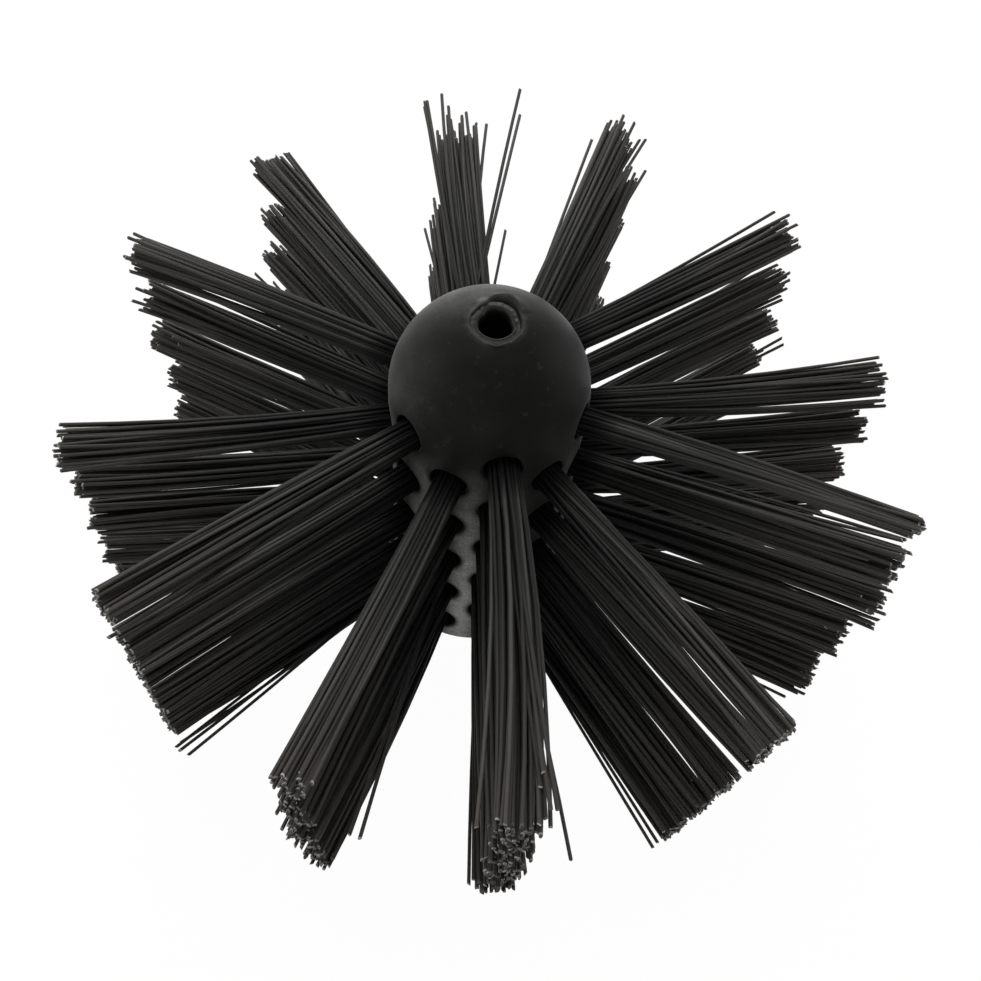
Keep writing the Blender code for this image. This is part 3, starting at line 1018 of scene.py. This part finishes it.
def tuft_shape(row, tuft, leans):
    """Lean to the side and towards the nose, length beyond the sweep and spread of a tuft."""
    side, up = leans[tuft]
    first_cut, last_cut, first_spread, last_spread = ROW_CUTS[row]
    share = tuft / (TUFTS_PER_ROW - 1)
    beyond = first_cut + (last_cut - first_cut) * share
    spread = first_spread + (last_spread - first_spread) * share
    odd = ODD_TUFTS.get((row + 1, tuft + 1), (0.0, 0.0, 0.0, 0.0))
    return side + odd[0], up + odd[1], (beyond + odd[2]) * MM, (spread + odd[3]) * MM


def root_shift(degrees):
    """How far a tuft's root moves in its hole towards the side that the tuft leans to."""
    return TUFT_LEAN_SHIFT * max(-1.0, min(1.0, degrees / TUFT_FULL_SHIFT_DEGREES))


def tuft_paths(rng, row, tuft, height, leans):
    """Paths of one tuft's filaments, with the row's direction along +X."""
    side, up, beyond, spread = tuft_shape(row, tuft, leans)
    bent_root, bent_middle = [
        shift * MM for shift in BENT_TUFTS.get((row + 1, tuft + 1), (0.0, 0.0))
    ]
    tip_radius = spread - FILAMENT_RADIUS - CLUMP_PARTING - TIP_INSET
    unevenness = CUT_UNEVENNESS[row] * MM
    shift_y = root_shift(side)
    shift_z = root_shift(up) - TUFT_SAG
    clumps = int(rng.integers(*CLUMP_COUNTS))
    phase = rng.uniform(0, 2 * math.pi)
    partings = rng.normal(0, CLUMP_PARTING, (clumps, 2))
    bow = rng.normal(0, TUFT_BOW, 2)
    twist = rng.uniform(0, 2 * math.pi)
    paths = []
    for u, v in packed_disc(FILAMENTS_PER_TUFT):
        y = u * math.cos(twist) - v * math.sin(twist)
        z = u * math.sin(twist) + v * math.cos(twist)
        around = (math.atan2(z, y) + phase) % (2 * math.pi)
        parting = partings[min(int(around / (2 * math.pi) * clumps), clumps - 1)]
        loose = rng.random() < LOOSE_SHARES[row]
        stray = rng.normal(0, LOOSE_STRAYING if loose else FILAMENT_STRAYING, 2)
        root_y = y * TUFT_ROOT_RADIUS + shift_y + bent_root
        root_z = z * TUFT_ROOT_RADIUS + shift_z
        start = Vector((tuft_mouth, root_y, height + root_z))
        direction = Vector((
            tuft_reach,
            y * tip_radius + parting[0] + stray[0] - root_y,
            z * tip_radius + parting[1] + stray[1] - root_z,
        )).normalized()
        # A path bows at its middle by a quarter of its curl
        curl = bow + rng.normal(0, FILAMENT_BOW, 2) - (4 * bent_middle / tuft_reach, 0)
        roughness = max(CUT_LEAST, min(CUT_MOST, rng.normal(0, 1)))
        cut = sweep_radius + beyond + unevenness * roughness
        if rng.random() < SHORT_SHARE:
            cut -= rng.uniform(*SHORTENING_MM) * MM
        paths.append(filament_path(start, lean(direction, side, up), cut, Vector((0, *curl))))
    return paths


def stray_path(rng, height, root, side_degrees, up_degrees, beyond):
    """Path of a filament that stands away from its tuft."""
    mouth = Vector((tuft_mouth, 0, height))
    tip = mouth + lean(Vector((tuft_reach, 0, 0)), side_degrees, up_degrees)
    edge = Vector((0, side_degrees, up_degrees))
    start = mouth + edge.normalized() * min(edge.length * STRAY_ROOT_SHIFT, STRAY_ROOT_RADIUS)
    start.y += root
    curl = Vector((0, rng.normal(0, STRAY_CURL), rng.normal(0, STRAY_CURL)))
    return filament_path(start, (tip - start).normalized(), sweep_radius + beyond, curl)


def filament_mesh(rng, name, paths):
    """Tubes along the paths, with a slanted, slightly rounded cut end, turned into one mesh."""
    sides = FILAMENT_SIDES
    points = np.array(paths)
    tangents = np.gradient(points, axis=1)
    tangents /= np.linalg.norm(tangents, axis=2, keepdims=True)
    end = points[:, -1:] + tangents[:, -1:] * CUT_ROUNDING
    points = np.concatenate([points, end], axis=1)
    tangents = np.concatenate([tangents, tangents[:, -1:]], axis=1)
    count, rings, _ = points.shape
    first_axis = np.cross(tangents, np.array([0.0, 0.0, 1.0]))
    first_axis /= np.linalg.norm(first_axis, axis=2, keepdims=True)
    second_axis = np.cross(tangents, first_axis)
    turns = np.arange(sides) * 2 * math.pi / sides
    radii = np.full(rings, FILAMENT_RADIUS)
    radii[-1] -= CUT_ROUNDING
    around = (np.cos(turns)[:, None] * first_axis[:, :, None, :]
              + np.sin(turns)[:, None] * second_axis[:, :, None, :])
    vertices = points[:, :, None, :] + around * radii[None, :, None, None]
    slant = rng.normal(0, CUT_SLANT, (count, 2)) * FILAMENT_RADIUS
    slanted = slant[:, :1] * np.cos(turns) + slant[:, 1:] * np.sin(turns)
    vertices[:, -3:] += slanted[:, None, :, None] * tangents[:, -3:, None, :]

    index = np.arange(count * rings * sides).reshape(count, rings, sides)
    after = np.roll(index, -1, axis=2)
    quads = np.stack([index[:, :-1], after[:, :-1], after[:, 1:], index[:, 1:]], axis=-1)
    faces = quads.reshape(-1, 4).tolist()
    roots = index[:, 0, ::-1].tolist()
    ends = index[:, -1].tolist()
    mesh = bpy.data.meshes.new(name)
    mesh.from_pydata(vertices.reshape(-1, 3).tolist(), [], faces + roots + ends)
    mesh.shade_smooth()
    mesh.set_sharp_from_angle(angle=math.radians(FILAMENT_SHARP_DEGREES))
    if mesh.polygons[0].normal.dot(Vector(around[0, 0, 0] + around[0, 0, 1])) < 0:
        mesh.flip_normals()

    tint = np.repeat(rng.random(count) ** TINT_SKEW, rings * sides)
    reach = np.array([0.0, 0.0, *PATH_SHARES, 1.0, 1.0, 1.0])
    along = np.broadcast_to(reach[None, :, None], (count, rings, sides)).ravel()
    paleness = rng.random(count) ** CUT_PALENESS_SKEW
    cut = np.zeros((count, rings - 1, sides))
    cut[:, -2:] = paleness[:, None, None]
    cut_faces = CUT_FACE_PALENESS + CUT_FACE_VARIATION * paleness
    cut = np.concatenate([cut.ravel(), np.zeros(count), cut_faces])
    for label, domain, values in (
        ("tint", "POINT", tint), ("along", "POINT", along), ("cut", "FACE", cut),
    ):
        layer = mesh.attributes.new(label, "FLOAT", domain)
        layer.data.foreach_set("value", values.astype(np.float32))
    return mesh


def turn_paths(paths, angle):
    """Turn paths about the hub's axis."""
    turn = Euler((0, 0, angle)).to_matrix()
    return [[tuple(turn @ point) for point in path] for path in paths]


def build_rows(material):
    """The filaments of each row, on the row's holes."""
    for row in range(ROW_COUNT):
        rng = np.random.default_rng((SEED, row, 0))
        stray_rng = np.random.default_rng((SEED, row, 1))
        leans = packed_leans(row)
        paths = []
        for tuft, height in enumerate(tuft_heights(row)):
            paths += tuft_paths(rng, row, tuft, height, leans)
            for stray_row, stray_tuft, side, up, beyond in STRAYS:
                if (stray_row, stray_tuft) == (row + 1, tuft + 1):
                    root = STRAY_ROOTS.get((stray_row, stray_tuft), 0.0) * MM
                    paths.append(stray_path(stray_rng, height, root, side, up, beyond * MM))
        name = f"bristles_{row + 1:02d}"
        mesh = filament_mesh(rng, name, turn_paths(paths, row_angle(row)))
        add_piece(name, mesh, material, "bristle_nylon", f"bristle_row_{row + 1:02d}")


# Stage


def seen_as_white(tree):
    """1 to the camera and in reflections and glass, which see the stage as white, and 0 to light."""
    rays = tree.nodes.new("ShaderNodeLightPath")
    seen = rays.outputs["Is Camera Ray"]
    for kind in ("Is Glossy Ray", "Is Transmission Ray"):
        either = tree.nodes.new("ShaderNodeMath")
        either.operation = "MAXIMUM"
        tree.links.new(seen, either.inputs[0])
        tree.links.new(rays.outputs[kind], either.inputs[1])
        seen = either.outputs[0]
    return seen


def build_floor():
    """Plain pale floor that keeps a soft shadow."""
    mesh = bpy.data.meshes.new("floor")
    half = FLOOR_HALF_WIDTH
    corners = [(-half, -half, 0), (half, -half, 0), (half, half, 0), (-half, half, 0)]
    mesh.from_pydata(corners, [], [(0, 1, 2, 3)])
    floor = bpy.data.objects.new("floor", mesh)
    floor.location.z = FLOOR_HEIGHT
    bpy.context.scene.collection.objects.link(floor)
    material = bpy.data.materials.new("floor_paper")
    material.use_nodes = True
    tree = material.node_tree
    shader = tree.nodes["Principled BSDF"]
    shader.inputs["Base Color"].default_value = FLOOR_COLOUR
    shader.inputs["Roughness"].default_value = 0.9
    shader.inputs["Specular IOR Level"].default_value = 0.0
    glow = tree.nodes.new("ShaderNodeEmission")
    glow.inputs["Color"].default_value = WHITE
    share = tree.nodes.new("ShaderNodeMath")
    share.operation = "MULTIPLY"
    share.inputs[1].default_value = FLOOR_WHITENESS
    tree.links.new(seen_as_white(tree), share.inputs[0])
    mix = tree.nodes.new("ShaderNodeMixShader")
    tree.links.new(share.outputs[0], mix.inputs[0])
    tree.links.new(shader.outputs[0], mix.inputs[1])
    tree.links.new(glow.outputs[0], mix.inputs[2])
    tree.links.new(mix.outputs[0], tree.nodes["Material Output"].inputs["Surface"])
    mesh.materials.append(material)


def build_world():
    """Soft white surround: white to the camera and to reflections, dimmer in front as a light."""
    world = bpy.data.worlds.new("studio")
    bpy.context.scene.world = world
    world.use_nodes = True
    tree = world.node_tree
    background = tree.nodes["Background"]
    background.inputs["Color"].default_value = WHITE
    place = tree.nodes.new("ShaderNodeTexCoord")
    split = tree.nodes.new("ShaderNodeSeparateXYZ")
    tree.links.new(place.outputs["Generated"], split.inputs[0])
    dimmed = tree.nodes.new("ShaderNodeMapRange")
    dimmed.inputs["From Min"].default_value = WORLD_FRONT_EDGE
    dimmed.inputs["From Max"].default_value = WORLD_BEHIND_EDGE
    dimmed.inputs["To Min"].default_value = WORLD_FRONT
    dimmed.inputs["To Max"].default_value = WORLD_BEHIND
    tree.links.new(split.outputs["Y"], dimmed.inputs["Value"])
    level = tree.nodes.new("ShaderNodeMix")
    tree.links.new(seen_as_white(tree), level.inputs["Factor"])
    tree.links.new(dimmed.outputs[0], level.inputs["A"])
    level.inputs["B"].default_value = 1.0
    tree.links.new(level.outputs["Result"], background.inputs["Strength"])


def add_softbox(name, place, size, power):
    """Square lamp that looks at the middle of the head."""
    lamp = bpy.data.lights.new(name, "AREA")
    lamp.size = size
    lamp.energy = power
    obj = bpy.data.objects.new(name, lamp)
    obj.location = place
    aim = Vector((0, 0, barrel_length / 2)) - Vector(place)
    obj.rotation_euler = aim.to_track_quat("-Z", "Y").to_euler()
    bpy.context.scene.collection.objects.link(obj)


def build_camera():
    """Camera at the photograph's place."""
    data = bpy.data.cameras.new("camera")
    data.lens = CAMERA_LENS_MM
    data.clip_start = CAMERA_CLIP_START
    camera = bpy.data.objects.new("camera", data)
    camera.location = CAMERA_PLACE
    camera.rotation_euler = [math.radians(angle) for angle in CAMERA_TURN_DEGREES]
    bpy.context.scene.collection.objects.link(camera)
    bpy.context.scene.camera = camera


build_camera()
add_piece("hub_moulding", hub_mesh(), hub_plastic(), "hub_plastic", "hub")
add_piece("sleeve_turning", sleeve_mesh(), sleeve_metal(), "sleeve_metal", "threaded_sleeve")
build_rows(nylon())
build_floor()
build_world()
for softbox in SOFTBOXES:
    add_softbox(*softbox)
bpy.context.scene.view_settings.view_transform = "Standard"
